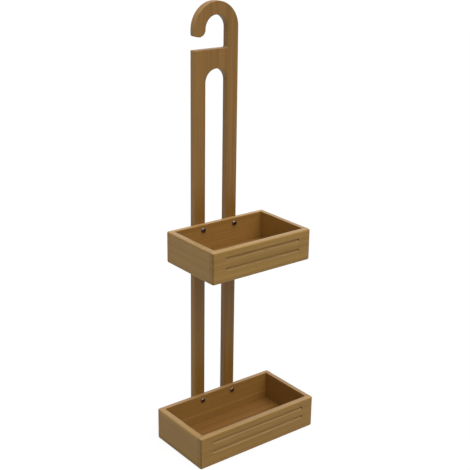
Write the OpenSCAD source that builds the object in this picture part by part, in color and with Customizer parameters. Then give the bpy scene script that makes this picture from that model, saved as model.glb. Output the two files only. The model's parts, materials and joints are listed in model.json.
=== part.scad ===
// Hanging shower caddy in laminated bamboo: one long hanger board with a hook
// at its top, and two open baskets bolted to its two legs.
// +Z is up, the baskets face -Y, and the origin is under the middle of the
// object, on the surface that the lower basket can stand on.

/* [Hanger board] */
// Height of the hanger board, from the feet of its legs to the top of the hook
hanger_h = 769; // [740:1:800]
// Width of the hanger board, which is also the outer width of the hook
hanger_w = 90; // [86:1:96]
// Thickness of the hanger board
hanger_t = 13; // [11:0.5:14]
// Width of each leg, of the hook's shank and of its tip
leg_w = 22.5; // [21:0.5:25]
// Height of the square shoulder under the hook's mouth
shoulder_z = 691; // [686:1:695]
// Height of the rounded top of the slot between the legs
slot_top_z = 658; // [640:1:665]

/* [Baskets] */
// Width of the lower basket
lower_w = 254; // [230:1:270]
// Width of the upper basket
upper_w = 208; // [190:1:230]
// Depth of both baskets, front to back
basket_d = 133; // [115:1:145]
// Height of the upper basket's walls
upper_h = 56.5; // [50:0.5:65]
// Height of the lower basket's walls
lower_h = 60; // [50:0.5:65]
// Thickness of the baskets' four walls
wall = 10; // [10:0.5:12]
// Height of the upper basket's underside
upper_z = 336; // [300:1:360]

/* [Bottom panels] */
// Thickness of each bottom panel
panel_t = 5; // [4:0.5:6]
// Height of the panel's underside above the lower edge of the walls
panel_lift = 3; // [2:0.5:5]
// Depth of the grooves that hold the panel
groove_depth = 4; // [3:0.5:5]

/* [Flutes in the front boards] */
// Radius of the round cutter
flute_r = 3.5; // [3:0.1:4]
// Depth of each flute
flute_depth = 3; // [2:0.1:3]
// Distance from a flute's end to the board's end
flute_margin = 24.5; // [20:0.5:30]
// Distance from the rim to the middle of the upper flute
flute_drop = 15.3; // [12:0.1:18]
// Distance between the two flutes
flute_pitch = 18.3; // [15:0.1:20]

/* [Bolts and insert nuts] */
// Diameter of the bolts' shanks
bolt_d = 4.9; // [4.9:0.05:4.95]
// Length of a bolt under its head
bolt_l = 16; // [14:1:16]
// Diameter of a bolt's button head
head_d = 9.5; // [9:0.1:10]
// Height of a bolt's button head
head_h = 2.75; // [2.5:0.05:3]
// Width across the flats of the head's hex socket
socket_af = 3; // [3:0.5:3]
// Depth of the hex socket
socket_depth = 1.6; // [1.4:0.1:1.8]
// Distance from a basket's rim to its bolts
bolt_drop = 10; // [8:0.5:12]
// Diameter of the clearance holes through the back boards
clearance_d = 5.5; // [5.5:0.1:6]
// Outer diameter of an insert nut
nut_d = 8; // [8:0.1:9]
// Length of an insert nut
nut_l = 8.5; // [8:0.1:8.5]
// Width across the flats of the hex recess in an insert nut's mouth
nut_recess_af = 6; // [5.5:0.1:6]
// Depth of that hex recess
nut_recess_depth = 2; // [1.5:0.1:2.5]

/* [Dowels] */
// Diameter of the dowels in the basket corners
dowel_d = 5; // [4:0.5:6]
// Length of a dowel
dowel_l = 22; // [20:1:24]
// Length of a dowel that sits in a front or back board
dowel_in_face = 7; // [5:0.5:7]
// Height of the lower dowels
dowel_low = 17; // [16:1:20]
// Height of the upper dowels
dowel_high = 43; // [36:1:45]

/* [Hidden] */
// Radial play round a dowel or an insert nut, and a bottom panel's play in its grooves
fit_gap = 0.05;
glue_gap = 0.5;
panel_play = 0.2;
cut = 1; // how far a cutter runs past the surface that it opens
$fn = 96;

front_y = -(basket_d + hanger_t) / 2; // outer face of the front boards
back_y = front_y + basket_d; // where the baskets meet the hanger board
hook_r = hanger_w / 2;
saddle_r = hook_r - leg_w; // inner radius of the hook and of the slot's top
hook_z = hanger_h - hook_r; // centre of the hook's arch
tip_r_inner = 12; // rounding of the tip's corner on the saddle's side
tip_r_outer = 4.5; // rounding of the tip's outer corner
tip_outer_drop = 6.5; // how far the outer corner's centre lies below the arch's centre
inner_corner = [-saddle_r - tip_r_inner, hook_z];
outer_corner = [-hook_r + tip_r_outer, hook_z - tip_outer_drop];
shoulder_fillet = 3; // rounding where the shank meets the shoulder
leg_x = hook_r - leg_w / 2; // middle of each leg, where the bolts go

// Each basket: name, width, height of its underside
BASKETS = [["upper", upper_w, upper_z, upper_h], ["lower", lower_w, 0, lower_h]];
SIDES = [["left", -1], ["right", 1]];
ENDS = [["front", 1], ["back", -1]]; // which end of a side board, and the way its dowels run into it
LEVELS = [["low", dowel_low], ["high", dowel_high]];

NODES = concat(
    ["hanger_board"],
    [for (b = BASKETS, board = ["front_board", "back_board", "left_board", "right_board", "bottom_panel"])
        str(b[0], "_", board)],
    [for (b = BASKETS, kind = ["bolt", "insert_nut"], s = SIDES) str(b[0], "_", kind, "_", s[0])],
    [for (b = BASKETS, e = ENDS, s = SIDES, l = LEVELS) str(b[0], "_dowel_", e[0], "_", s[0], "_", l[0])]
);
node = "all";

function wanted(name) = node == "all" || node == name;

// A cylinder that starts at the origin and runs along +Y
module rod_y(r, length) {
    rotate([-90, 0, 0]) cylinder(r = r, h = length);
}

// A hexagonal bar along +Y, measured across its flats
module hex_y(across_flats, length) {
    rotate([-90, 0, 0]) cylinder(d = across_flats / cos(30), h = length, $fn = 6);
}

// A piece of the hanger board between two corners of its front view
module plate(x0, z0, x1, z1) {
    translate([x0, back_y, z0]) cube([x1 - x0, hanger_t, z1 - z0]);
}

// A disc as thick as the hanger board
module disc(x, z, r, past = 0) {
    translate([x, back_y - past, z]) rod_y(r, hanger_t + 2 * past);
}

// The part of a disc that lies between two corners of its front view
module round_corner(centre, r, x0, z0, x1, z1) {
    intersection() {
        disc(centre[0], centre[1], r);
        plate(x0, z0, x1, z1);
    }
}

// A piece of the hanger board with the given outline in the front view
module sawn(points) {
    translate([0, back_y + hanger_t, 0]) rotate([90, 0, 0]) linear_extrude(hanger_t) polygon(points);
}

// The tip of the hook, below the level of the arch's centre. Its lower edge slopes down from a small round
// corner outside to a large one on the saddle's side
module hook_tip() {
    outer_foot = outer_corner - [0.8, 4.4];
    inner_foot = inner_corner - [2.2, 11.77];
    plate(-hook_r, outer_corner[1], outer_corner[0], hook_z);
    sawn([[outer_foot[0], hook_z], outer_foot, inner_foot, [inner_foot[0], hook_z]]);
    round_corner(outer_corner, tip_r_outer,
        -hook_r, outer_corner[1] - tip_r_outer, outer_corner[0], outer_corner[1]);
    round_corner(inner_corner, tip_r_inner,
        inner_foot[0] - 2, hook_z - tip_r_inner, -saddle_r, hook_z);
}

// The small fillet between the shank and the shoulder
module shoulder_corner() {
    f = shoulder_fillet;
    difference() {
        plate(saddle_r - f, shoulder_z, saddle_r, shoulder_z + f);
        disc(saddle_r - f, shoulder_z + f, f, cut);
    }
}

// The upper half of the arch, between the outer radius and the saddle
module hook_arch() {
    difference() {
        intersection() {
            disc(0, hook_z, hook_r);
            plate(-hook_r, hook_z, hook_r, hanger_h);
        }
        disc(0, hook_z, saddle_r, cut);
    }
}

// The slot that parts the two legs, open at the feet and round at the top
module leg_slot() {
    disc(0, slot_top_z - saddle_r, saddle_r, cut);
    translate([-saddle_r, back_y - cut, -cut])
        cube([2 * saddle_r, hanger_t + 2 * cut, slot_top_z - saddle_r + cut]);
}

module hanger_board() {
    color("#a5763f") difference() {
        union() {
            plate(-hook_r, 0, hook_r, shoulder_z);
            plate(saddle_r, shoulder_z, hook_r, hook_z);
            shoulder_corner();
            hook_arch();
            hook_tip();
        }
        leg_slot();
        for (b = BASKETS, s = SIDES)
            translate([s[1] * leg_x, back_y - cut, b[2] + b[3] - bolt_drop])
                rod_y(nut_d / 2, nut_l + glue_gap + cut);
    }
}

// The groove that a bottom panel sits in, cut as one slab with the basket's inside size plus the groove
module panel_slab(w, play = 0) {
    reach = wall - groove_depth + play;
    translate([-w / 2 + reach, front_y + reach, panel_lift])
        cube([w - 2 * reach, basket_d - 2 * reach, panel_t]);
}

// The holes of the dowels in all four corners
module dowel_holes(w) {
    for (s = SIDES, e = ENDS, l = LEVELS)
        dowel_place(w, s[1], e[1], l[1]) translate([0, -glue_gap, 0])
            rod_y(dowel_d / 2 + fit_gap, dowel_l + 2 * glue_gap);
}

// Moves a dowel, drawn along +Y, to its corner: from inside the front or back board into the side board
module dowel_place(w, side, end, z) {
    x = side * (w - wall) / 2;
    start = end > 0 ? front_y + wall - dowel_in_face : back_y - wall + dowel_in_face - dowel_l;
    translate([x, start, z]) children();
}

// One round-bottomed flute with ball-shaped ends
module flute(length, z) {
    run = length - 2 * flute_r;
    translate([-run / 2, front_y + flute_depth - flute_r, z]) {
        rotate([0, 90, 0]) cylinder(r = flute_r, h = run);
        sphere(r = flute_r);
        translate([run, 0, 0]) sphere(r = flute_r);
    }
}

module front_board(w, h) {
    color("#b58a4f") difference() {
        translate([-w / 2, front_y, 0]) cube([w, wall, h]);
        panel_slab(w);
        dowel_holes(w);
        for (i = [0, 1])
            flute(w - 2 * flute_margin, h - flute_drop - i * flute_pitch);
    }
}

module back_board(w, h) {
    color("#a97c45") difference() {
        translate([-w / 2, back_y - wall, 0]) cube([w, wall, h]);
        panel_slab(w);
        dowel_holes(w);
        for (s = SIDES)
            translate([s[1] * leg_x, back_y - wall - cut, h - bolt_drop])
                rod_y(clearance_d / 2, wall + 2 * cut);
    }
}

// A side board, between the front and back boards. side is -1 for the left and 1 for the right
module side_board(w, h, side) {
    x0 = side < 0 ? -w / 2 : w / 2 - wall;
    color("#b08348") difference() {
        translate([x0, front_y + wall, 0]) cube([wall, basket_d - 2 * wall, h]);
        panel_slab(w);
        dowel_holes(w);
    }
}

module bottom_panel(w) {
    color("#9c6f3a") panel_slab(w, panel_play);
}

// A button-head bolt with a hex socket. It goes through the back board from the inside
module bolt() {
    dome_r = (head_d * head_d / 4 + head_h * head_h) / (2 * head_h);
    color("silver") difference() {
        union() {
            intersection() {
                translate([0, dome_r - head_h, 0]) sphere(r = dome_r);
                translate([0, -head_h - cut, 0]) rod_y(head_d, head_h + cut);
            }
            rod_y(bolt_d / 2, bolt_l);
        }
        translate([0, -head_h - cut, 0]) hex_y(socket_af, socket_depth + cut);
    }
}

// The nut that is screwed into a leg, with a hex recess for its driver
module insert_nut() {
    color("gold") difference() {
        rod_y(nut_d / 2 - fit_gap, nut_l);
        translate([0, -cut, 0]) rod_y(bolt_d / 2 + fit_gap, nut_l + 2 * cut);
        translate([0, -cut, 0]) hex_y(nut_recess_af, nut_recess_depth + cut);
    }
}

module dowel() {
    color("burlywood") rod_y(dowel_d / 2, dowel_l);
}

if (wanted("hanger_board")) hanger_board();
for (b = BASKETS) translate([0, 0, b[2]]) {
    if (wanted(str(b[0], "_front_board"))) front_board(b[1], b[3]);
    if (wanted(str(b[0], "_back_board"))) back_board(b[1], b[3]);
    if (wanted(str(b[0], "_left_board"))) side_board(b[1], b[3], -1);
    if (wanted(str(b[0], "_right_board"))) side_board(b[1], b[3], 1);
    if (wanted(str(b[0], "_bottom_panel"))) bottom_panel(b[1]);
    for (s = SIDES) translate([s[1] * leg_x, 0, b[3] - bolt_drop]) {
        if (wanted(str(b[0], "_bolt_", s[0]))) translate([0, back_y - wall, 0]) bolt();
        if (wanted(str(b[0], "_insert_nut_", s[0]))) translate([0, back_y, 0]) insert_nut();
    }
    for (e = ENDS, s = SIDES, l = LEVELS)
        if (wanted(str(b[0], "_dowel_", e[0], "_", s[0], "_", l[0])))
            dowel_place(b[1], s[1], e[1], l[1]) dowel();
}
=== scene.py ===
# %% [markdown]
# # A hanging shower caddy in bamboo
# The caddy is one long flat board with a hook sawn into its top, and two open baskets bolted to its two
# legs. Everything is laminated bamboo, caramelised by steam and closed with a satin lacquer, apart from
# four bolts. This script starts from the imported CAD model, which says where every piece is, and gives
# each piece the rounding, joinery and finish that it has on the real object.

# %% Load the frame
import json
from math import acos, atan2, ceil, cos, degrees, pi, radians, sin

import bmesh
import bpy
from mathutils import Matrix, Vector


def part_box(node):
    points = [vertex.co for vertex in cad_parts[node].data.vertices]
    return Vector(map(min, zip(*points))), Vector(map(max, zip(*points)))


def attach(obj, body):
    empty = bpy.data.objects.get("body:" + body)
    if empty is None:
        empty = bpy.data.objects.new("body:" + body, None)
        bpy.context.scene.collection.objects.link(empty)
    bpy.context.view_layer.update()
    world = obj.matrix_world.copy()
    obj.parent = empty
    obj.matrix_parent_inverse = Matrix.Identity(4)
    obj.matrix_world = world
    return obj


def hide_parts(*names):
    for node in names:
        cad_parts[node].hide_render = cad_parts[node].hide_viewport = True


MM = 0.001
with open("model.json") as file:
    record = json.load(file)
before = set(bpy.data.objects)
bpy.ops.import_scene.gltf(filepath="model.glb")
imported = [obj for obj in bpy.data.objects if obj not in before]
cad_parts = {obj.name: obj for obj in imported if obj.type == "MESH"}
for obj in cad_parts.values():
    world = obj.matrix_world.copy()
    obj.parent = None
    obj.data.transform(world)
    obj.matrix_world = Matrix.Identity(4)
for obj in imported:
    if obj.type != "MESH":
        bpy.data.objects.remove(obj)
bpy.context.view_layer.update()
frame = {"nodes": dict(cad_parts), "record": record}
record = frame["record"]
print("CAD pieces:", len(frame["nodes"]))

# %% [markdown]
# ## Sizes
# The CAD boxes give nearly every size: a board's length, the place of a bolt, the leg's middle. The hook's
# radius is the record's own mount. Only what no box can tell is written here, such as how far an edge is
# rounded over, or where the slot ends.

# %% Sizes in metres
BASKETS = ("upper", "lower")
SIDES = ("left", "right")
CORNER_ROUND = 3.3 * MM  # the upright outer corners of a basket
ROUND_OVER = 3.2 * MM  # its outer edges round the rim and the underside
EASED = 0.6 * MM  # sanded edges at the rim's inner side
HAIRLINE = 0.22 * MM  # edges where two boards meet
HANGER_EASED = 1.3 * MM
SHOULDER_Z = 691 * MM
SLOT_TOP_Z = 658 * MM
TIP_INNER_R = 12 * MM
TIP_OUTER_R = 4.5 * MM
TIP_OUTER_DROP = 6.5 * MM
SHOULDER_FILLET = 3 * MM
FLUTE_R = 3.5 * MM
FLUTE_DEPTH = 3 * MM
FLUTE_MARGIN = 24.5 * MM
FLUTE_DROP = 15.3 * MM
FLUTE_PITCH = 18.3 * MM
hanger_low, hanger_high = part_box("hanger_board")
saddle = next(m for m in record["mounts"] if m["name"] == "hook_saddle")
saddle_r = saddle["dims"]["r_mm"] * MM
hook_z = saddle["pos_m"][2]
hook_r = hanger_high.x
print(f"hook: outer radius {hook_r / MM:.1f} mm, saddle {saddle_r / MM:.1f} mm")
print(f"hook centre: {hook_z / MM:.1f} mm up")

# %% [markdown]
# ## Camera
# The camera stands to the left of the caddy, a little above the upper basket, and looks down at it. It is
# made from an azimuth, an elevation and a small roll, because those are the numbers that a photographer
# would set on a tripod.

# %% Camera
AZIMUTH, ELEVATION, ROLL = radians(-38.018), radians(19.746), radians(0.837)
camera_data = bpy.data.cameras.new("camera")
camera_data.sensor_width = 36
camera_data.lens = 75.66
camera = bpy.data.objects.new("camera", camera_data)
bpy.context.scene.collection.objects.link(camera)
bpy.context.scene.camera = camera
backwards = Vector((sin(AZIMUTH) * cos(ELEVATION), -cos(AZIMUTH) * cos(ELEVATION), sin(ELEVATION)))
level = Vector((0, 0, 1)).cross(backwards).normalized()
upright = backwards.cross(level)
right = cos(ROLL) * level + sin(ROLL) * upright
up = cos(ROLL) * upright - sin(ROLL) * level
camera.matrix_world = Matrix((right, up, backwards)).transposed().to_4x4()
camera.location = (-0.98347, -1.25386, 0.9533)
print("camera is", round(camera.location.length, 2), "m from the origin")

# %% [markdown]
# ## Small helpers for node trees
# Materials and Geometry Nodes are both trees of nodes. These three helpers keep the later cells readable:
# one adds a node and fills its sockets, one does arithmetic, and one opens a new group with named sockets.

# %% Node helpers
def put(tree, kind, sockets=None, **settings):
    """Adds a node. A socket takes a plain value, or another node's output."""
    node = tree.nodes.new(kind)
    for name, value in settings.items():
        setattr(node, name, value)
    for name, value in (sockets or {}).items():
        if isinstance(value, bpy.types.NodeSocket):
            tree.links.new(value, node.inputs[name])
        else:
            node.inputs[name].default_value = value
    return node


def calc(tree, operation, *values, clamp=False):
    """One Math node on one to three values."""
    node = put(tree, "ShaderNodeMath", dict(enumerate(values)), operation=operation, use_clamp=clamp)
    return node.outputs[0]


def ramp(tree, value, low, high, to_low=0.0, to_high=1.0):
    """Goes smoothly from to_low to to_high while the value goes from low to high."""
    sockets = {"Value": value, "From Min": low, "From Max": high, "To Min": to_low, "To Max": to_high}
    return put(tree, "ShaderNodeMapRange", sockets, interpolation_type="SMOOTHSTEP").outputs["Result"]


def blend_colours(tree, factor, first, second, mode="MIX"):
    """Mixes two colours."""
    node = put(tree, "ShaderNodeMix", data_type="RGBA", blend_type=mode)
    for index, value in ((0, factor), (6, first), (7, second)):
        if isinstance(value, bpy.types.NodeSocket):
            tree.links.new(value, node.inputs[index])
        else:
            node.inputs[index].default_value = value
    return node.outputs[2]


def open_group(name, kind, inputs, outputs):
    """Starts a node group. inputs and outputs are {name: (socket type, default)}."""
    tree = bpy.data.node_groups.new(name, kind)
    for in_out, sockets in (("INPUT", inputs), ("OUTPUT", outputs)):
        for socket_name, (socket_type, default) in sockets.items():
            full_type = "NodeSocket" + socket_type
            socket = tree.interface.new_socket(socket_name, in_out=in_out, socket_type=full_type)
            if default is not None:
                socket.default_value = default
    return tree, tree.nodes.new("NodeGroupInput").outputs, tree.nodes.new("NodeGroupOutput").inputs


# %% [markdown]
# ## Fibres
# Bamboo has no rings and no rays. It is a bundle of long fibres, and all that one sees along it are fine
# streaks and darker flecks, where the sap ran. Noise that is stretched a hundredfold along the grain gives
# both. The group is shared by the boards and the dowels, and its vector runs along, across and through.

# %% Shared group: fibres
fibres, given, result = open_group(
    "fibres", "ShaderNodeTree",
    {"Vector": ("Vector", None), "Shift": ("Float", 0.0)},
    {"Streaks": ("Float", None), "Flecks": ("Float", None), "Clouds": ("Float", None)},
)
apart = put(fibres, "ShaderNodeCombineXYZ", {"X": given["Shift"], "Y": given["Shift"], "Z": given["Shift"]})


def stretched_noise(tree, stretch, detail, roughness):
    """Noise with its own number of waves in a metre along, across and through the board."""
    scaled = put(tree, "ShaderNodeVectorMath", {0: given["Vector"], 1: stretch}, operation="MULTIPLY")
    moved = put(tree, "ShaderNodeVectorMath", {0: scaled.outputs[0], 1: apart.outputs[0]}, operation="ADD")
    sockets = {"Vector": moved.outputs[0], "Scale": 1.0, "Detail": detail, "Roughness": roughness}
    return put(tree, "ShaderNodeTexNoise", sockets).outputs["Fac"]


fibres.links.new(stretched_noise(fibres, (7, 620, 620), 4.0, 0.6), result["Streaks"])
flecks = stretched_noise(fibres, (34, 1900, 1900), 2.0, 0.5)
fibres.links.new(ramp(fibres, flecks, 0.6, 0.72), result["Flecks"])
fibres.links.new(stretched_noise(fibres, (3, 45, 20), 2.0, 0.5), result["Clouds"])
print("fibres group:", len(fibres.nodes), "nodes")

# %% [markdown]
# ## Laminated bamboo
# The culm is split into strips some 6 mm wide, which are glued side by side and planed. Each strip comes
# from another culm, so each has its own tone, and its own node rings, the knuckles of the culm, which cross
# it as a dark line with a pale band. Glue lines part the strips. On a cut end the same fibres show as
# dots, and the lacquer sinks in and darkens. A solid pattern gives all this at once: because it fills the
# board's volume, the rim, the faces and the ends agree with each other at every edge.

# %% Shared group: laminated bamboo
bamboo, given, result = open_group(
    "laminated_bamboo", "ShaderNodeTree",
    {
        "Vector": ("Vector", None), "Normal": ("Vector", None), "Strip Width": ("Float", 0.006),
        "Ring Distance": ("Float", 0.27), "Seed": ("Float", 0.0), "Pale": ("Color", None),
        "Dark": ("Color", None),
    },
    {"Color": ("Color", None), "Roughness": ("Float", None), "Height": ("Float", None)},
)
along, across, _ = put(bamboo, "ShaderNodeSeparateXYZ", {0: given["Vector"]}).outputs
strips_in = calc(bamboo, "ADD", calc(bamboo, "DIVIDE", across, given["Strip Width"]), given["Seed"])
strip = calc(bamboo, "FLOOR", strips_in)
in_strip = calc(bamboo, "FRACT", strips_in)
strip_key = put(bamboo, "ShaderNodeCombineXYZ", {"X": strip, "Y": given["Seed"]}).outputs[0]
dice = put(bamboo, "ShaderNodeTexWhiteNoise", {"Vector": strip_key}, noise_dimensions="3D").outputs
tone, _, ring_shift = put(bamboo, "ShaderNodeSeparateXYZ", {0: dice["Color"]}).outputs
fibre_shift = calc(bamboo, "MULTIPLY", dice["Value"], 40.0)
grain = put(bamboo, "ShaderNodeGroup", node_tree=fibres)
bamboo.links.new(given["Vector"], grain.inputs["Vector"])
bamboo.links.new(fibre_shift, grain.inputs["Shift"])

# Rings: the distance along the strip to its nearest knuckle, bent a little by the clouds
bent = calc(bamboo, "MULTIPLY_ADD", grain.outputs["Clouds"], 0.004, along)
turns = calc(bamboo, "ADD", calc(bamboo, "DIVIDE", bent, given["Ring Distance"]), ring_shift)
from_ring = calc(bamboo, "ABSOLUTE", calc(bamboo, "SUBTRACT", calc(bamboo, "FRACT", turns), 0.5))
ring_gap = calc(bamboo, "MULTIPLY", from_ring, given["Ring Distance"])
ring_line = ramp(bamboo, ring_gap, 0.0004, 0.0016, 1.0, 0.0)
ring_band = ramp(bamboo, ring_gap, 0.0015, 0.006, 1.0, 0.0)

# Glue: the distance across the strip to its nearer side
to_side = calc(bamboo, "MINIMUM", in_strip, calc(bamboo, "SUBTRACT", 1.0, in_strip))
glue = ramp(bamboo, calc(bamboo, "MULTIPLY", to_side, given["Strip Width"]), 0.00004, 0.00016, 1.0, 0.0)

# Colour: the strip's tone and its streaks choose between pale and dark, then rings, glue and flecks go on
shade = calc(bamboo, "MULTIPLY_ADD", grain.outputs["Streaks"], 1.3, -0.4)
shade = calc(bamboo, "MULTIPLY_ADD", tone, 0.32, shade)
shade = calc(bamboo, "MULTIPLY_ADD", grain.outputs["Clouds"], 0.55, shade)
shade = ramp(bamboo, shade, 0.0, 1.35)
colour = blend_colours(bamboo, shade, given["Dark"], given["Pale"])
colour = blend_colours(bamboo, calc(bamboo, "MULTIPLY", grain.outputs["Flecks"], 0.35), colour, given["Dark"])
colour = blend_colours(bamboo, calc(bamboo, "MULTIPLY", ring_band, 0.2), colour, given["Pale"])
ring_mark = calc(bamboo, "MULTIPLY", ring_line, 0.2)
glue_mark = calc(bamboo, "MULTIPLY", glue, 0.35)
dark_marks = calc(bamboo, "MAXIMUM", ring_mark, glue_mark)
colour = blend_colours(bamboo, dark_marks, colour, (0.07, 0.03, 0.008, 1))

# Ends: where the surface looks along the grain, the cut fibres show as dots on a darker ground
facing, _, _ = put(bamboo, "ShaderNodeSeparateXYZ", {0: given["Normal"]}).outputs
cut_end = ramp(bamboo, calc(bamboo, "ABSOLUTE", facing), 0.55, 0.85)
dots = put(bamboo, "ShaderNodeTexVoronoi", {"Vector": given["Vector"], "Scale": 1150.0, "Randomness": 0.9})
dot = ramp(bamboo, dots.outputs["Distance"], 0.12, 0.42, 1.0, 0.0)
end_marks = calc(bamboo, "MULTIPLY_ADD", dot, 0.4, 0.12)
colour = blend_colours(bamboo, calc(bamboo, "MULTIPLY", cut_end, end_marks), colour, (0.09, 0.042, 0.012, 1))
bamboo.links.new(colour, result["Color"])

# Lacquer lies smoother on the dense fibres, and sinks into glue lines, rings and ends
sheen = calc(bamboo, "MULTIPLY_ADD", grain.outputs["Streaks"], 0.16, 0.36)
sheen = calc(bamboo, "MULTIPLY_ADD", cut_end, 0.14, sheen)
bamboo.links.new(calc(bamboo, "MULTIPLY_ADD", dark_marks, 0.1, sheen), result["Roughness"])
height = calc(bamboo, "MULTIPLY_ADD", grain.outputs["Streaks"], 0.6, 0.4)
height = calc(bamboo, "SUBTRACT", height, calc(bamboo, "MULTIPLY", dark_marks, 0.8))
height = calc(bamboo, "SUBTRACT", height, calc(bamboo, "MULTIPLY", end_marks, cut_end))
bamboo.links.new(height, result["Height"])
print("laminated bamboo group:", len(bamboo.nodes), "nodes")

# %% [markdown]
# ## Handled edges, painted shade and painted highlight
# An edge that has been routed, sanded and handled is a little paler than the face beside it, because the
# tint is cut through there. The surface's own direction tells where that is: on a flat face it lies along
# one axis, and only on a rounding does it lie between two. On the hanger board the sawn outline also
# curves, so there only the turn from the outline to the front or back counts. A second mask finds the
# rounding of a basket's upright corners, which gets painted shade as a dark line. A third mask finds what
# looks up, where a painted highlight makes the tops of the rims paler and greyer than the faces.

# %% Shared group: edge wear and painted light
edges, given, result = open_group(
    "edge_wear_and_painted_light", "ShaderNodeTree",
    {"Normal": ("Vector", None), "Curved Outline": ("Float", 0.0)},
    {"Mask": ("Float", None), "Upright": ("Float", None), "Upward": ("Float", None)},
)
parts = put(edges, "ShaderNodeSeparateXYZ", {0: given["Normal"]}).outputs
squares = [calc(edges, "MULTIPLY", part, part) for part in parts]
flatness = calc(edges, "MULTIPLY", squares[0], squares[0])
flatness = calc(edges, "MULTIPLY_ADD", squares[1], squares[1], flatness)
flatness = calc(edges, "MULTIPLY_ADD", squares[2], squares[2], flatness)
both_ways = calc(edges, "MULTIPLY", calc(edges, "MULTIPLY", squares[0], squares[2]), 2.0)
flatness = calc(edges, "MULTIPLY_ADD", both_ways, given["Curved Outline"], flatness)
rounding = ramp(edges, flatness, 0.5, 0.95, 1.0, 0.0)
edges.links.new(rounding, result["Mask"])
# Upright marks the rounding of an upright corner, where painted shade goes. Upward marks what looks up, where
# a painted highlight goes.
beside = ramp(edges, squares[2], 0.01, 0.12, 1.0, 0.0)
edges.links.new(calc(edges, "MULTIPLY", rounding, beside), result["Upright"])
edges.links.new(ramp(edges, parts[2], 0.5, 0.95), result["Upward"])

# %% [markdown]
# ## Metal surface
# Polished nickel and cast zinc differ in how coarse their grain is. One group gives a grain that changes the
# roughness and lifts the surface a little, and each metal sets its own size and range.

# %% Shared group: metal surface
metal, given, result = open_group(
    "metal_surface", "ShaderNodeTree",
    {
        "Vector": ("Vector", None), "Grains": ("Float", 900.0), "Smooth": ("Float", 0.2),
        "Rough": ("Float", 0.4),
    },
    {"Roughness": ("Float", None), "Height": ("Float", None), "Stain": ("Float", None)},
)
grain_sockets = {"Vector": given["Vector"], "Scale": given["Grains"], "Detail": 3.0}
grains = put(metal, "ShaderNodeTexNoise", grain_sockets).outputs["Fac"]
stains = put(metal, "ShaderNodeTexNoise", {"Vector": given["Vector"], "Scale": 260.0, "Detail": 2.0})
spread = calc(metal, "SUBTRACT", given["Rough"], given["Smooth"])
metal.links.new(calc(metal, "MULTIPLY_ADD", grains, spread, given["Smooth"]), result["Roughness"])
metal.links.new(grains, result["Height"])
metal.links.new(ramp(metal, stains.outputs["Fac"], 0.42, 0.7), result["Stain"])

# %% [markdown]
# ## Finishes
# Each board gets its own material, so that no two boards show the same strips. A Mapping node turns the
# object's coordinates until the first one runs along that board's grain. The seed changes from board to
# board. The back boards are redder, as painted bounce light: the warm light that passes from wall to wall
# inside a basket. The right boards and the bottom panels are redder and darker, as painted bounce light and
# painted shade. That is a shortcut, because these colours stay when the light changes. The walls also get
# painted shade on the rounding of their upright corners and a painted highlight on top. The lacquer is the
# shader's own: low specular, a thin coat, and the roughness that the bamboo group gives.

# %% Materials for boards
LACQUER_COAT = 0.3
EDGE_WEAR = 0.1  # how far a rounded edge goes towards paler wood
CORNER_PAINTED_SHADE = 0.6  # how far an upright corner's rounding goes towards the painted shade colour
TOP_PAINTED_HIGHLIGHT = 0.35  # how far what looks up goes towards the painted highlight colour
# Painted shade colour for the rounding of the upright corners
PAINTED_SHADE_COLOUR = (0.06, 0.028, 0.008, 1)
# Painted highlight colour for what looks up, such as the tops of the rims
PAINTED_HIGHLIGHT_COLOUR = (0.30, 0.21, 0.125, 1)
FIRST_SEED, SEED_STEP = 7.3, 11.37
GRAIN = {  # which way the grain and the strips run: (along, across)
    "x_flat": (Vector((1, 0, 0)), Vector((0, 1, 0))),
    "x_upright": (Vector((1, 0, 0)), Vector((0, 0, 1))),
    "y_upright": (Vector((0, 1, 0)), Vector((0, 0, 1))),
    "z_upright": (Vector((0, 0, 1)), Vector((1, 0, 0))),
    "y_round": (Vector((0, 1, 0)), Vector((1, 0, 0))),
}


def open_material(name):
    """A material with an empty Principled BSDF, and the coordinates of the piece."""
    material = bpy.data.materials.new(name)
    material.use_nodes = True
    tree = material.node_tree
    tree.nodes.clear()
    surface = put(tree, "ShaderNodeBsdfPrincipled")
    put(tree, "ShaderNodeOutputMaterial", {"Surface": surface.outputs[0]})
    return material, tree, surface, put(tree, "ShaderNodeTexCoord").outputs


def turned(tree, vector, grain, kind):
    """The vector seen from a board whose grain runs as GRAIN says."""
    along_axis, across_axis = GRAIN[grain]
    turn = Matrix((along_axis, across_axis, along_axis.cross(across_axis))).to_euler()
    return put(tree, "ShaderNodeMapping", {"Vector": vector, "Rotation": turn}, vector_type=kind).outputs[0]


def raise_surface(tree, surface, height, strength, distance):
    """Small relief from a height."""
    bump = put(tree, "ShaderNodeBump", {"Height": height, "Strength": strength, "Distance": distance})
    tree.links.new(bump.outputs[0], surface.inputs["Normal"])


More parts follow.
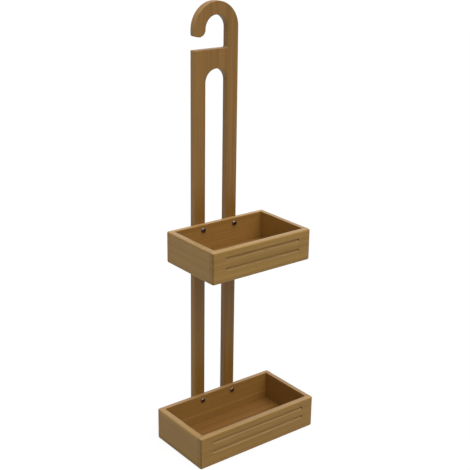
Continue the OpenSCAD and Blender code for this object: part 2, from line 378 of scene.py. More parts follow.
def board_finish(name, grain, seed, pale, dark, curved=0.0, corner_shade=0.0, top_highlight=0.0, strip=6.2 * MM):
    """Lacquered laminated bamboo for one board, with painted shade on its upright corners and a painted
    highlight on what looks up.
    """
    material, tree, surface, coords = open_material(name)
    wood = put(tree, "ShaderNodeGroup", node_tree=bamboo)
    tree.links.new(turned(tree, coords["Object"], grain, "POINT"), wood.inputs["Vector"])
    tree.links.new(turned(tree, coords["Normal"], grain, "VECTOR"), wood.inputs["Normal"])
    for socket, value in {"Strip Width": strip, "Seed": seed, "Pale": pale, "Dark": dark}.items():
        wood.inputs[socket].default_value = value
    wear_and_light = put(tree, "ShaderNodeGroup", node_tree=edges)
    tree.links.new(coords["Normal"], wear_and_light.inputs["Normal"])
    wear_and_light.inputs["Curved Outline"].default_value = curved
    amount = calc(tree, "MULTIPLY", wear_and_light.outputs["Mask"], EDGE_WEAR)
    worn_colour = tuple(min(1.0, 1.3 * c) for c in pale[:3]) + (1,)
    colour = blend_colours(tree, amount, wood.outputs["Color"], worn_colour)
    # Painted highlight: what looks up goes paler and greyer
    top_highlight_amount = calc(tree, "MULTIPLY", wear_and_light.outputs["Upward"], top_highlight)
    colour = blend_colours(tree, top_highlight_amount, colour, PAINTED_HIGHLIGHT_COLOUR)
    # Painted shade: the rounding of an upright corner darkens towards a dark brown
    corner_shade_amount = calc(tree, "MULTIPLY", wear_and_light.outputs["Upright"], corner_shade)
    colour = blend_colours(tree, corner_shade_amount, colour, PAINTED_SHADE_COLOUR)
    tree.links.new(colour, surface.inputs["Base Color"])
    tree.links.new(wood.outputs["Roughness"], surface.inputs["Roughness"])
    surface.inputs["Specular IOR Level"].default_value = 0.25
    surface.inputs["Coat Weight"].default_value = LACQUER_COAT
    surface.inputs["Coat Roughness"].default_value = 0.3
    raise_surface(tree, surface, wood.outputs["Height"], 0.35, 0.15 * MM)
    return material


BASKET_PALE, BASKET_DARK = (0.335, 0.192, 0.039, 1), (0.21, 0.107, 0.017, 1)
# Painted bounce light: the back boards are redder than the outer boards
BOUNCE_LIGHT_PALE, BOUNCE_LIGHT_DARK = (0.39, 0.205, 0.050, 1), (0.255, 0.122, 0.025, 1)
HANGER_PALE, HANGER_DARK = (0.305, 0.156, 0.030, 1), (0.185, 0.085, 0.012, 1)
HANGER_SEED = 3.4
finishes = {}
finishes["hanger_board"] = board_finish(
    "bamboo_hanger", "z_upright", HANGER_SEED, HANGER_PALE, HANGER_DARK, curved=1.0,
)
BOARD_GRAIN = {
    "front_board": "x_upright", "back_board": "x_upright", "left_board": "y_upright",
    "right_board": "y_upright", "bottom_panel": "x_flat",
}
# Painted bounce light and painted shade: the right boards and the bottom panels are redder and darker
PANEL_BOUNCE_AND_SHADE_PALE, PANEL_BOUNCE_AND_SHADE_DARK = (0.215, 0.099, 0.020, 1), (0.13, 0.056, 0.010, 1)
BOUNCE_AND_SHADE_PALE, BOUNCE_AND_SHADE_DARK = (0.315, 0.165, 0.034, 1), (0.20, 0.090, 0.015, 1)
PAINTED_LIGHT_TINTS = {
    "back_board": (BOUNCE_LIGHT_PALE, BOUNCE_LIGHT_DARK), "right_board": (BOUNCE_AND_SHADE_PALE, BOUNCE_AND_SHADE_DARK),
    "bottom_panel": (PANEL_BOUNCE_AND_SHADE_PALE, PANEL_BOUNCE_AND_SHADE_DARK),
}
seed = FIRST_SEED
for basket in BASKETS:
    for board, grain in BOARD_GRAIN.items():
        seed += SEED_STEP
        node = f"{basket}_{board}"
        pale, dark = PAINTED_LIGHT_TINTS.get(board, (BASKET_PALE, BASKET_DARK))
        # Painted shade on upright corners and a painted highlight on top, for every board but the bottom
        # panel
        corner_shade, top_highlight = (0.0, 0.0) if board == "bottom_panel" else (CORNER_PAINTED_SHADE, TOP_PAINTED_HIGHLIGHT)
        finishes[node] = board_finish("bamboo_" + node, grain, seed, pale, dark, corner_shade=corner_shade, top_highlight=top_highlight)
print("board finishes:", len(finishes))

# %% [markdown]
# The bolts are polished, and drawn as a nickel much darker than fresh plate: the dark colour is a painted
# reflection of dark surroundings.
# The nuts are cast zinc, left as they come from the mould. The dowels are turned from a pale hardwood: the
# same fibres as before, but with no strips and no lacquer.

# %% Materials for fasteners
def metal_finish(name, colour, stained, grains, smooth, rough, relief):
    """A metal with grain and a few duller stains."""
    material, tree, surface, coords = open_material(name)
    skin = put(tree, "ShaderNodeGroup", node_tree=metal)
    for socket, value in {"Grains": grains, "Smooth": smooth, "Rough": rough}.items():
        skin.inputs[socket].default_value = value
    tree.links.new(coords["Object"], skin.inputs["Vector"])
    tree.links.new(blend_colours(tree, skin.outputs["Stain"], colour, stained), surface.inputs["Base Color"])
    tree.links.new(skin.outputs["Roughness"], surface.inputs["Roughness"])
    surface.inputs["Metallic"].default_value = 1.0
    raise_surface(tree, surface, skin.outputs["Height"], relief, 0.05 * MM)
    return material


# Painted reflection: the nickel and its stains are drawn dark for the dark surroundings that polished heads
# reflect
DARK_REFLECTION_NICKEL, DARK_REFLECTION_NICKEL_STAIN = (0.17, 0.13, 0.11, 1), (0.10, 0.07, 0.06, 1)
ZINC, ZINC_STAIN = (0.52, 0.50, 0.44, 1), (0.40, 0.38, 0.32, 1)
nickel = metal_finish("polished_nickel", DARK_REFLECTION_NICKEL, DARK_REFLECTION_NICKEL_STAIN, 1400.0, 0.16, 0.32, 0.05)
zinc = metal_finish("cast_zinc", ZINC, ZINC_STAIN, 2200.0, 0.45, 0.7, 0.3)

beech, tree, surface, coords = open_material("turned_beech")
grain = put(tree, "ShaderNodeGroup", node_tree=fibres)
tree.links.new(turned(tree, coords["Object"], "y_round", "POINT"), grain.inputs["Vector"])
colour = blend_colours(tree, grain.outputs["Streaks"], (0.42, 0.26, 0.13, 1), (0.66, 0.47, 0.28, 1))
colour = blend_colours(tree, grain.outputs["Flecks"], colour, (0.34, 0.19, 0.09, 1))
tree.links.new(colour, surface.inputs["Base Color"])
tree.links.new(ramp(tree, grain.outputs["Streaks"], 0.2, 0.8, 0.62, 0.78), surface.inputs["Roughness"])
raise_surface(tree, surface, grain.outputs["Streaks"], 0.4, 0.1 * MM)
print("materials:", len(bpy.data.materials))

# %% [markdown]
# ## From modifiers to a plain mesh
# Pieces are built with modifiers, which are easy to change, and then frozen into a plain mesh. Flat faces
# that end in a rounding need care: if every corner's shading direction were a plain average, a large flat
# face would look pillowy. A Weighted Normal modifier lets the large faces decide.

# %% Helpers that finish a piece
def new_piece(name, mesh):
    """An object at the origin, linked to the scene."""
    piece = bpy.data.objects.new(name, mesh)
    bpy.context.scene.collection.objects.link(piece)
    return piece


def freeze(piece):
    """Turns the modifiers' result into the piece's own mesh."""
    bpy.context.view_layer.update()
    graph = bpy.context.evaluated_depsgraph_get()
    mesh = bpy.data.meshes.new_from_object(piece.evaluated_get(graph), depsgraph=graph)
    piece.modifiers.clear()
    piece.data = mesh
    return piece


def finish_piece(piece, node, material, sharp=38):
    """Shading, material, and the piece's place in the frame."""
    piece.data.materials.clear()
    piece.data.materials.append(material)
    piece.data.shade_smooth()
    piece.data.set_sharp_from_angle(angle=radians(sharp))
    weigh = piece.modifiers.new("flat faces lead", "WEIGHTED_NORMAL")
    weigh.keep_sharp = True
    freeze(piece)
    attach(piece, "root")
    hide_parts(node)
    return piece


def joined(meshes):
    """One mesh from several closed ones."""
    whole = bmesh.new()
    for mesh in meshes:
        whole.from_mesh(mesh)
    result_mesh = bpy.data.meshes.new("joined")
    whole.to_mesh(result_mesh)
    whole.free()
    return result_mesh


# %% [markdown]
# ## Cutters
# A board is shaped as in the workshop: a blank is sawn, its edges are routed, and then drills and cutters
# take away the holes and grooves. A drill is a cylinder along the hole, a saw kerf is a block. Their places
# come from the pieces that will sit in them, so every dowel, nut, bolt and panel fits its hole.

# %% Cutter helpers
HOLE_SIDES = 48


def drill(low, high, radius):
    """A cylinder along Y through the middle of a box, from low to high."""
    shape = bmesh.new()
    middle = (low + high) / 2
    place = Matrix.Translation(middle) @ Matrix.Rotation(radians(90), 4, "X")
    bmesh.ops.create_cone(
        shape, cap_ends=True, segments=HOLE_SIDES, radius1=radius, radius2=radius,
        depth=high.y - low.y, matrix=place,
    )
    mesh = bpy.data.meshes.new("drill")
    shape.to_mesh(mesh)
    shape.free()
    return mesh


def block(low, high):
    """A box between two corners."""
    shape = bmesh.new()
    place = Matrix.Translation((low + high) / 2) @ Matrix.Diagonal((*(high - low), 1))
    bmesh.ops.create_cube(shape, size=1, matrix=place)
    mesh = bpy.data.meshes.new("block")
    shape.to_mesh(mesh)
    shape.free()
    return mesh


def meets(first, second):
    """Whether two boxes share some space."""
    return all(first[0][i] < second[1][i] and second[0][i] < first[1][i] for i in range(3))


DOWELS = [f"{e}_{s}_{level}" for e in ("front", "back") for s in SIDES for level in ("low", "high")]
END_ROOM = Vector((0, 0.5 * MM, 0))  # glue room at both ends of a hole
PANEL_PLAY = Vector((0.2 * MM, 0.2 * MM, 0))
SNUG = 0.05 * MM
CLEARANCE_R = 2.75 * MM


def basket_cutters(basket, board):
    """All drills and kerfs that touch one board of a basket."""
    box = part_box(f"{basket}_{board}")
    cutters = []
    for dowel in DOWELS:
        low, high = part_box(f"{basket}_dowel_{dowel}")
        if meets(box, (low, high)):
            cutters.append(drill(low - END_ROOM, high + END_ROOM, (high.x - low.x) / 2 + SNUG))
    panel_low, panel_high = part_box(f"{basket}_bottom_panel")
    cutters.append(block(panel_low - PANEL_PLAY, panel_high + PANEL_PLAY))
    if board == "back_board":
        for side in SIDES:
            cutters.append(drill(*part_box(f"{basket}_bolt_{side}"), CLEARANCE_R))
    return cutters


# %% [markdown]
# ## The flutes, with Geometry Nodes
# Each front board has two long flutes, made with a ball-nosed router bit that goes down, runs along and
# comes up. The shape that it sweeps is a sphere pulled apart at its equator: the two halves stay round and
# the wall between them is straight. An odd number of rings leaves no ring on the equator itself, so every
# vertex belongs to one half. The tree makes one such shape and repeats it down a line, once per flute.

# %% Geometry Nodes: flutes
flutes, given, result = open_group(
    "routed_flutes", "GeometryNodeTree",
    {
        "Geometry": ("Geometry", None), "Count": ("Int", 2), "Length": ("Float", 0.16),
        "Radius": ("Float", 0.0035), "Pitch": ("Float", 0.018), "First": ("Vector", None),
        "Material": ("Material", None),
    },
    {"Geometry": ("Geometry", None)},
)
ball = put(flutes, "GeometryNodeMeshUVSphere", {"Segments": 48, "Rings": 25, "Radius": given["Radius"]})
where = put(flutes, "GeometryNodeInputPosition").outputs[0]
_, _, pole_way = put(flutes, "ShaderNodeSeparateXYZ", {0: where}).outputs
half_run = calc(flutes, "SUBTRACT", calc(flutes, "MULTIPLY", given["Length"], 0.5), given["Radius"])
pull = calc(flutes, "MULTIPLY", calc(flutes, "SIGN", pole_way), half_run)
pulled = put(flutes, "ShaderNodeCombineXYZ", {"Z": pull}).outputs[0]
swept = put(flutes, "GeometryNodeSetPosition", {"Geometry": ball.outputs["Mesh"], "Offset": pulled})
laid = put(flutes, "GeometryNodeTransform", {"Geometry": swept.outputs[0], "Rotation": (0, radians(90), 0)})
step = put(flutes, "ShaderNodeCombineXYZ", {"Z": calc(flutes, "MULTIPLY", given["Pitch"], -1.0)}).outputs[0]
line_sockets = {"Count": given["Count"], "Start Location": given["First"], "Offset": step}
line = put(flutes, "GeometryNodeMeshLine", line_sockets)
copy_sockets = {"Points": line.outputs[0], "Instance": laid.outputs[0]}
spread_out = put(flutes, "GeometryNodeInstanceOnPoints", copy_sockets)
solid = put(flutes, "GeometryNodeRealizeInstances", {"Geometry": spread_out.outputs[0]})
coated = put(flutes, "GeometryNodeSetMaterial", {"Geometry": solid.outputs[0], "Material": given["Material"]})
flutes.links.new(coated.outputs[0], result["Geometry"])


def run_tree(name, tree, values, mesh=None):
    """Runs a Geometry Nodes tree with named values, and returns its result as a plain mesh."""
    piece = new_piece(name, mesh or bpy.data.meshes.new(name))
    modifier = piece.modifiers.new(name, "NODES")
    modifier.node_group = tree
    sockets = {item.name: item.identifier for item in tree.interface.items_tree if item.in_out == "INPUT"}
    for socket, value in values.items():
        modifier[sockets[socket]] = value
    freeze(piece)
    made = piece.data
    bpy.data.objects.remove(piece)
    return made


def flute_cutter(basket):
    """The two flutes of one front board."""
    low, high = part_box(f"{basket}_front_board")
    values = {
        "Count": 2, "Length": high.x - low.x - 2 * FLUTE_MARGIN, "Radius": FLUTE_R, "Pitch": FLUTE_PITCH,
        "First": (0.0, low.y + FLUTE_DEPTH - FLUTE_R, high.z - FLUTE_DROP), "Material": beech,
    }
    cutter = run_tree("flutes", flutes, values)
    print(f"{basket} flutes: {len(cutter.polygons)} faces, {values['Length'] / MM:.0f} mm long")
    return cutter


# %% [markdown]
# ## Basket boards
# The front and back boards cover the ends of the side boards. After gluing, the whole outside of the basket
# was rounded over with one router bit, the rim's inner edge was only sanded, and edges that meet another
# board stayed sharp. A Bevel modifier that reads edge weights does all three in one go, and makes proper
# round corners where three routed edges meet. Then the cutters go through, and a second, very small bevel
# takes the sharpness off what they left.

# %% Board builder
AXES = {"x": 0, "y": 1, "z": 2}
OUTSIDE = {  # faces of each board that lie on the outside of the basket
    "front_board": ("-x", "+x", "-y", "-z", "+z"),
    "back_board": ("-x", "+x", "+y", "-z", "+z"),
    "left_board": ("-x", "-z", "+z"),
    "right_board": ("+x", "-z", "+z"),
    "bottom_panel": (),
}
INSIDE = {"front_board": "+y", "back_board": "-y", "left_board": "+x", "right_board": "-x"}


def face_name(normal):
    """The side that a face looks to, such as +x."""
    axis = max(AXES, key=lambda a: abs(normal[AXES[a]]))
    return ("+" if normal[AXES[axis]] > 0 else "-") + axis


def blank(board, low, high):
    """A board's block, with each edge's rounding as a bevel weight."""
    mesh = block(low, high)
    shape = bmesh.new()
    shape.from_mesh(mesh)
    weight = shape.edges.layers.float.new("bevel_weight_edge")
    for edge in shape.edges:
        sides = {face_name(face.normal) for face in edge.link_faces}
        if sides <= set(OUTSIDE[board]):
            upright = not sides & {"-z", "+z"}
            edge[weight] = 1.0 if upright else ROUND_OVER / CORNER_ROUND
        elif sides == {INSIDE.get(board), "+z"}:
            edge[weight] = EASED / CORNER_ROUND
    shape.to_mesh(mesh)
    shape.free()
    return mesh


def shape_board(piece, cutters, radius, limit, segments):
    """Rounds a blank, cuts it, and eases what the cutters left."""
    routed = piece.modifiers.new("routed edges", "BEVEL")
    routed.limit_method = limit
    routed.width = radius
    routed.segments = segments
    tool = new_piece("cutters", joined(cutters))
    cut = piece.modifiers.new("cutters", "BOOLEAN")
    cut.object = tool
    cut.solver = "EXACT"
    eased = piece.modifiers.new("hairline", "BEVEL")
    eased.limit_method = "ANGLE"
    eased.angle_limit = radians(40)
    eased.width = HAIRLINE
    eased.segments = 2
    freeze(piece)
    bpy.data.objects.remove(tool)
    return piece


def make_board(basket, board):
    """One board of one basket."""
    node = f"{basket}_{board}"
    piece = new_piece(node + "_bamboo", blank(board, *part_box(node)))
    cutters = [] if board == "bottom_panel" else basket_cutters(basket, board)
    if board == "front_board":
        cutters.append(flute_cutter(basket))
    shape_board(piece, cutters, CORNER_ROUND, "WEIGHT", 6)
    finish_piece(piece, node, finishes[node])
    print(f"{node}: {len(piece.data.polygons)} faces")


for basket in BASKETS:
    for board in BOARD_GRAIN:
        make_board(basket, board)

# %% [markdown]
# ## The hanger board
# The hanger is sawn in one piece from a wide laminated board. Its outline follows a few rules: straight
# sides, a half round at the slot's top, a hook between two circles with one centre, and a tip with two round
# corners. An outline that is written as arcs and corners stays round at any distance, and changes with its
# radii. It is filled, made as thick as the CAD board, and rounded all along.

# %% Hanger outline
def arc(centre_x, centre_z, radius, start, end):
    """Points from one angle to another, in degrees, one for about every three."""
    steps = max(4, ceil(abs(end - start) / 3))
    angles = [radians(start + (end - start) * i / steps) for i in range(steps + 1)]
    return [(centre_x + radius * cos(a), centre_z + radius * sin(a)) for a in angles]


inner_x, outer_x = -saddle_r - TIP_INNER_R, -hook_r + TIP_OUTER_R
slot_z = SLOT_TOP_Z - saddle_r
# The tip's lower edge touches both of its round corners, and this is the direction in which it does
corner_gap = Vector((inner_x - outer_x, TIP_OUTER_DROP))
lean = acos((TIP_OUTER_R - TIP_INNER_R) / corner_gap.length)
touch = 360 + degrees(atan2(corner_gap.y, corner_gap.x) - lean)
crown = (hanger_high.z - hook_z) / hook_r  # a hair below 1, so that the arch ends at the CAD box
outline = (
    [(hook_r, 0.0)]
    + [(x, hook_z + (z - hook_z) * crown) for x, z in arc(0, hook_z, hook_r, 0, 180)]
    + arc(outer_x, hook_z - TIP_OUTER_DROP, TIP_OUTER_R, 180, touch)
    + arc(inner_x, hook_z, TIP_INNER_R, touch, 360)
    + arc(0, hook_z, saddle_r, 180, 0)[1:]
    + arc(saddle_r - SHOULDER_FILLET, SHOULDER_Z + SHOULDER_FILLET, SHOULDER_FILLET, 0, -90)
    + [(-hook_r, SHOULDER_Z), (-hook_r, 0.0), (-saddle_r, 0.0)]
    + arc(0, slot_z, saddle_r, 180, 0)
    + [(saddle_r, 0.0)]
)
print("hanger outline:", len(outline), "points")


# %% Hanger board
def sawn(points, front_y, back_y):
    """A closed board from an outline in the X-Z plane."""
    shape = bmesh.new()
    front = shape.faces.new([shape.verts.new((x, front_y, z)) for x, z in points])
    grown = bmesh.ops.extrude_face_region(shape, geom=[front], use_keep_orig=True)
    back_points = [item for item in grown["geom"] if isinstance(item, bmesh.types.BMVert)]
    bmesh.ops.translate(shape, vec=(0, back_y - front_y, 0), verts=back_points)
    bmesh.ops.recalc_face_normals(shape, faces=shape.faces)
    mesh = bpy.data.meshes.new("sawn")
    shape.to_mesh(mesh)
    shape.free()
    return mesh


hanger = new_piece("hanger_board_bamboo", sawn(outline, hanger_low.y, hanger_high.y))
nut_holes = []
for basket in BASKETS:
    for side in SIDES:
        low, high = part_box(f"{basket}_insert_nut_{side}")
        nut_holes.append(drill(low - 2 * END_ROOM, high + END_ROOM, (high.x - low.x) / 2 + SNUG))
shape_board(hanger, nut_holes, HANGER_EASED, "ANGLE", 4)
finish_piece(hanger, "hanger_board", finishes["hanger_board"])
print("hanger board:", len(hanger.data.polygons), "faces")

# %% [markdown]
# ## Turned pieces, with Geometry Nodes
# Bolts, insert nuts and dowels are all turned: a profile goes round an axis, and a thread or a set of
# grooves is cut into it. One tree makes all three. It lays a grid, bends its columns round the axis,
# takes each row's radius and height from a profile, and lowers the radius where a thread or a groove
# runs. A thread is a groove whose phase also depends on the height, so it climbs as it goes round.

# %% Geometry Nodes: turned piece
turning, given, result = open_group(
    "turned_piece", "GeometryNodeTree",
    {
        "Geometry": ("Geometry", None), "Place": ("Vector", None), "Segments": ("Int", 48),
        "Thread From": ("Float", 0.0), "Thread To": ("Float", 0.0), "Thread Pitch": ("Float", 0.001),
        "Thread Depth": ("Float", 0.0), "Thread Above": ("Float", 0.0), "Groove Count": ("Float", 0.0),
        "Groove Depth": ("Float", 0.0), "Hex Width": ("Float", 0.0), "Hex Depth": ("Float", 0.001),
        "Material": ("Material", None),
    },
    {"Geometry": ("Geometry", None)},
)
counted = put(
    turning, "GeometryNodeAttributeDomainSize", {"Geometry": given["Geometry"]}, component="MESH",
)
rows = counted.outputs["Point Count"]
columns = calc(turning, "ADD", given["Segments"], 1.0)
grid = put(turning, "GeometryNodeMeshGrid", {"Vertices X": columns, "Vertices Y": rows})
around, up_profile, _ = put(turning, "ShaderNodeSeparateXYZ", {0: grid.outputs["UV Map"]}).outputs
row = calc(turning, "ROUND", calc(turning, "MULTIPLY", up_profile, calc(turning, "SUBTRACT", rows, 1.0)))
where = put(turning, "GeometryNodeInputPosition").outputs[0]
taken = put(
    turning, "GeometryNodeSampleIndex", {"Geometry": given["Geometry"], "Value": where, "Index": row},
    data_type="FLOAT_VECTOR", domain="POINT",
)
radius, _, lift = put(turning, "ShaderNodeSeparateXYZ", {0: taken.outputs[0]}).outputs
angle = calc(turning, "MULTIPLY", around, 2 * pi)

# Thread: a triangle wave along the height that moves on by one pitch each turn, only between its ends
climb = calc(turning, "SUBTRACT", calc(turning, "DIVIDE", lift, given["Thread Pitch"]), around)
sawtooth = calc(turning, "MULTIPLY", calc(turning, "FRACT", climb), 2.0)
wave = calc(turning, "ABSOLUTE", calc(turning, "SUBTRACT", sawtooth, 1.0))
started = ramp(turning, calc(turning, "SUBTRACT", lift, given["Thread From"]), 0.0, 0.0006)
not_ended = ramp(turning, calc(turning, "SUBTRACT", given["Thread To"], lift), 0.0, 0.0002)
outside = calc(turning, "GREATER_THAN", radius, given["Thread Above"])
between_ends = calc(turning, "MULTIPLY", started, not_ended)
thread = calc(turning, "MULTIPLY", between_ends, calc(turning, "MULTIPLY", wave, outside))
radius = calc(turning, "SUBTRACT", radius, calc(turning, "MULTIPLY", thread, given["Thread Depth"]))

# Grooves: a cosine round the axis, deeper where the radius is large
ripple = calc(turning, "COSINE", calc(turning, "MULTIPLY", angle, given["Groove Count"]))
groove = calc(turning, "MULTIPLY_ADD", ripple, -0.5, 0.5)
radius = calc(turning, "SUBTRACT", radius, calc(turning, "MULTIPLY", groove, given["Groove Depth"]))
radius = calc(turning, "MAXIMUM", radius, 0.0)
bent = put(turning, "ShaderNodeCombineXYZ", {
    "X": calc(turning, "MULTIPLY", radius, calc(turning, "COSINE", angle)),
    "Y": calc(turning, "MULTIPLY", radius, calc(turning, "SINE", angle)),
    "Z": lift,
}).outputs[0]
round_grid = put(turning, "GeometryNodeSetPosition", {"Geometry": grid.outputs["Mesh"], "Position": bent})
closed = put(turning, "GeometryNodeMergeByDistance", {"Geometry": round_grid.outputs[0], "Distance": 1e-6})

# Hex socket: a six-sided prism taken out from one end
hex_r = calc(turning, "DIVIDE", given["Hex Width"], 2 * cos(radians(30)))
both_ways_out = calc(turning, "MULTIPLY", given["Hex Depth"], 2.0)
prism = put(turning, "GeometryNodeMeshCylinder", {"Vertices": 6, "Radius": hex_r, "Depth": both_ways_out})
socketed = put(turning, "GeometryNodeMeshBoolean", operation="DIFFERENCE", solver="EXACT")
turning.links.new(closed.outputs[0], socketed.inputs[0])
turning.links.new(prism.outputs["Mesh"], socketed.inputs[1])
has_hex = calc(turning, "GREATER_THAN", given["Hex Width"], 0.0)
either = {"Switch": has_hex, "False": closed.outputs[0], "True": socketed.outputs[0]}
chosen = put(turning, "GeometryNodeSwitch", either, input_type="GEOMETRY")
aim_sockets = {"Geometry": chosen.outputs[0], "Translation": given["Place"], "Rotation": (radians(-90), 0, 0)}
aimed = put(turning, "GeometryNodeTransform", aim_sockets)
solid = put(turning, "GeometryNodeRealizeInstances", {"Geometry": aimed.outputs[0]})
coat_sockets = {"Geometry": solid.outputs[0], "Material": given["Material"]}
coated = put(turning, "GeometryNodeSetMaterial", coat_sockets)
turning.links.new(coated.outputs[0], result["Geometry"])
print("turned piece tree:", len(turning.nodes), "nodes")


# %% Profiles
def profile(points):
    """A chain of vertices: each point is (radius, height)."""
    mesh = bpy.data.meshes.new("profile")
    edge_list = [(i, i + 1) for i in range(len(points) - 1)]
    mesh.from_pydata([(r, 0.0, h) for r, h in points], edge_list, [])
    return mesh


def straight(radius, low, high, steps):
    """Points up a straight wall."""
    return [(radius, low + (high - low) * i / steps) for i in range(steps + 1)]


def turn_piece(node, slot, points, material, sharp, **values):
    """Makes one turned piece at the place of its CAD node."""
    low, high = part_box(node)
    middle = (low + high) / 2
    values["Place"] = (middle.x, low.y, middle.z)
    values["Material"] = material
    named = {name.replace("_", " "): value for name, value in values.items()}
    piece = new_piece(node + "_turned", run_tree(node, turning, named, profile(points)))
    shape = bmesh.new()
    shape.from_mesh(piece.data)
    bmesh.ops.recalc_face_normals(shape, faces=shape.faces)
    shape.to_mesh(piece.data)
    volume = shape.calc_volume()
    shape.free()
    finish_piece(piece, node, material, sharp)
    return len(piece.data.polygons), volume / MM**3


# %% [markdown]
# ## Bolts, nuts and dowels
# A bolt has a domed button head with a hex socket, a plain neck and a fine thread. The insert nut is a
# sleeve with a coarse outer thread that bites into the leg, and a hex mouth for its driver. A dowel has
# chamfered ends and shallow grooves, along which air and glue escape.

# %% Bolts
THREADS_A_TURN = 8  # rows of the grid for each turn of a thread
low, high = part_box("upper_bolt_left")
nut_low, nut_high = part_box("upper_insert_nut_left")
back_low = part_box("upper_back_board")[0]
head_r = (high.x - low.x) / 2
head_h = back_low.y - low.y
bolt_l = high.y - low.y
shank_r = 2.45 * MM
FLAT_R = 2.1 * MM
SOCKET_WIDTH, SOCKET_DEPTH = 3 * MM, 1.6 * MM
FINE_PITCH, FINE_DEPTH = 0.8 * MM, 0.38 * MM
NECK = 3 * MM
LAND = 0.45 * MM  # the straight side under the dome
LAND_TAPER = 0.12 * MM
POINT = 0.6 * MM  # the chamfer at the shank's end
DOME_STEPS = 10
dome = [
    (FLAT_R + (head_r - FLAT_R) * sin(a), (head_h - LAND) * (1 - cos(a)))
    for a in (radians(90) * i / DOME_STEPS for i in range(DOME_STEPS + 1))
]
shank_rows = ceil((bolt_l - head_h - POINT) / FINE_PITCH * THREADS_A_TURN)
bolt_points = (
    [(0.0, 0.0)] + dome + [(head_r - LAND_TAPER, head_h), (shank_r, head_h)]
    + straight(shank_r, head_h + SNUG, bolt_l - POINT, shank_rows)
    + [(shank_r - POINT, bolt_l), (0.0, bolt_l)]
)
for basket in BASKETS:
    for side in SIDES:
        faces, volume = turn_piece(
            f"{basket}_bolt_{side}", "bolt_steel", bolt_points, nickel, 30, Segments=48,
            Thread_From=head_h + NECK, Thread_To=bolt_l - 0.1 * MM, Thread_Pitch=FINE_PITCH,
            Thread_Depth=FINE_DEPTH, Hex_Width=SOCKET_WIDTH, Hex_Depth=SOCKET_DEPTH,
        )
print(f"bolt: {faces} faces, {volume:.0f} mm3")

# %% Insert nuts
nut_r = (nut_high.x - nut_low.x) / 2
nut_l = nut_high.y - nut_low.y
bore_r = shank_r + 0.02 * MM
COARSE_PITCH, COARSE_DEPTH = 2.4 * MM, 0.9 * MM
RECESS_WIDTH, RECESS_DEPTH = 6 * MM, 2 * MM
NUT_TIP = 0.8 * MM  # the chamfer at the end that goes in first
THREAD_LEAD = 0.9 * MM  # plain sleeve at both ends
nut_rows = ceil(nut_l / COARSE_PITCH * 2 * THREADS_A_TURN)
nut_points = (
    [(bore_r, 0.0)] + straight(nut_r, 0.0, nut_l - NUT_TIP, nut_rows)
    + [(nut_r - COARSE_DEPTH, nut_l), (bore_r, nut_l), (bore_r, 0.0)]
)
for basket in BASKETS:
    for side in SIDES:
        faces, volume = turn_piece(
            f"{basket}_insert_nut_{side}", "nut_alloy", nut_points, zinc, 30, Segments=48,
            Thread_From=THREAD_LEAD, Thread_To=nut_l - THREAD_LEAD, Thread_Pitch=COARSE_PITCH,
            Thread_Depth=COARSE_DEPTH, Thread_Above=shank_r + 0.5 * MM,
            Hex_Width=RECESS_WIDTH, Hex_Depth=RECESS_DEPTH,
        )
print(f"insert nut: {faces} faces, {volume:.0f} mm3")

# %% Dowels
dowel_low, dowel_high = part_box("upper_dowel_front_left_low")
dowel_r = (dowel_high.x - dowel_low.x) / 2
dowel_l = dowel_high.y - dowel_low.y
CHAMFER = 0.8 * MM
dowel_points = (
    [(0.0, 0.0), (dowel_r - CHAMFER, 0.0)]
    + straight(dowel_r, CHAMFER, dowel_l - CHAMFER, 2)
    + [(dowel_r - CHAMFER, dowel_l), (0.0, dowel_l)]
)
for basket in BASKETS:
    for dowel in DOWELS:
        faces, volume = turn_piece(
            f"{basket}_dowel_{dowel}", "dowel_wood", dowel_points, beech, 50, Segments=108,
            Groove_Count=18.0, Groove_Depth=0.22 * MM,
        )
print(f"dowel: {faces} faces, {volume:.0f} mm3")

# %% [markdown]
# ## Floor and light
# The caddy stands on a plain pale floor under plain studio light, from three far lamps: a broad one nearly
# overhead for the rims and panels, a softer one from the front, and a faint low one from the left for the
# side boards. The camera sees the floor almost white, while for light it is a mid grey, so that it doesn't
# flood the outer faces from below. The surroundings are split in the same way: white for the camera and
# in reflections, and dim for what they light, which leaves the insides of the baskets deep. Neither split
# is physical. Both stand in for a backdrop that is lit by lamps of its own.

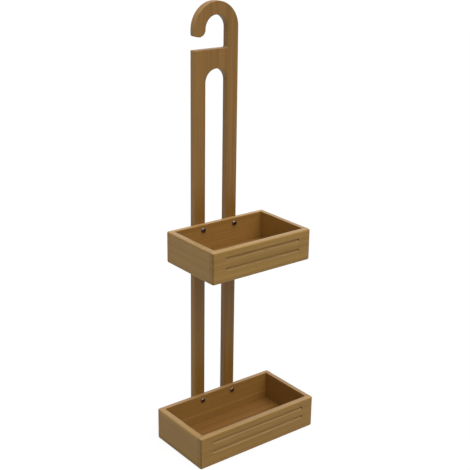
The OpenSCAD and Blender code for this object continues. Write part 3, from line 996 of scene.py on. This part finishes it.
# %% Floor
FLOOR_HALF, FLOOR_THICK = 40.0, 0.02
FLOOR_SHOWN_WHITE = 0.85  # the share of white in what the camera sees
floor_low = Vector((-FLOOR_HALF, -FLOOR_HALF, -FLOOR_THICK))
floor_high = Vector((FLOOR_HALF, FLOOR_HALF, 0.0))
floor = new_piece("floor", block(floor_low, floor_high))
paper, tree, surface, _ = open_material("pale_floor")
surface.inputs["Base Color"].default_value = (0.45, 0.45, 0.45, 1)
surface.inputs["Roughness"].default_value = 0.9
surface.inputs["Specular IOR Level"].default_value = 0.1
white = put(tree, "ShaderNodeEmission", {"Color": (1, 1, 1, 1), "Strength": 1.08})
camera_ray = put(tree, "ShaderNodeLightPath").outputs["Is Camera Ray"]
looked_at = calc(tree, "MULTIPLY", camera_ray, FLOOR_SHOWN_WHITE)
shown = put(tree, "ShaderNodeMixShader", {0: looked_at, 1: surface.outputs[0], 2: white.outputs[0]})
tree.links.new(shown.outputs[0], tree.get_output_node("ALL").inputs["Surface"])
floor.data.materials.append(paper)

# %% Light
def add_sun(name, energy, spread, azimuth, elevation):
    """A soft far light. Azimuth 0 comes from the front and 90 from the left."""
    data = bpy.data.lights.new(name, "SUN")
    data.energy = energy
    data.angle = radians(spread)
    lamp = bpy.data.objects.new(name, data)
    bpy.context.scene.collection.objects.link(lamp)
    a, e = radians(azimuth), radians(elevation)
    towards = Vector((-sin(a) * cos(e), -cos(a) * cos(e), sin(e)))
    lamp.rotation_euler = towards.to_track_quat("Z", "Y").to_euler()


add_sun("overhead", 3.7, 70, 10, 82)
add_sun("front_key", 0.70, 50, -10, 42)
add_sun("side_fill", 0.26, 30, 75, 5)

world = bpy.data.worlds.new("studio")
bpy.context.scene.world = world
world.use_nodes = True
tree = world.node_tree
tree.nodes.clear()
room = put(tree, "ShaderNodeBackground", {"Color": (1, 1, 1, 1), "Strength": 0.16})
backdrop = put(tree, "ShaderNodeBackground", {"Color": (1, 1, 1, 1), "Strength": 1.0})
rays = put(tree, "ShaderNodeLightPath").outputs
seen = calc(tree, "MAXIMUM", rays["Is Camera Ray"], rays["Is Glossy Ray"])
mixed = put(tree, "ShaderNodeMixShader", {0: seen, 1: room.outputs[0], 2: backdrop.outputs[0]})
put(tree, "ShaderNodeOutputWorld", {"Surface": mixed.outputs[0]})
bpy.context.scene.view_settings.view_transform = "Standard"
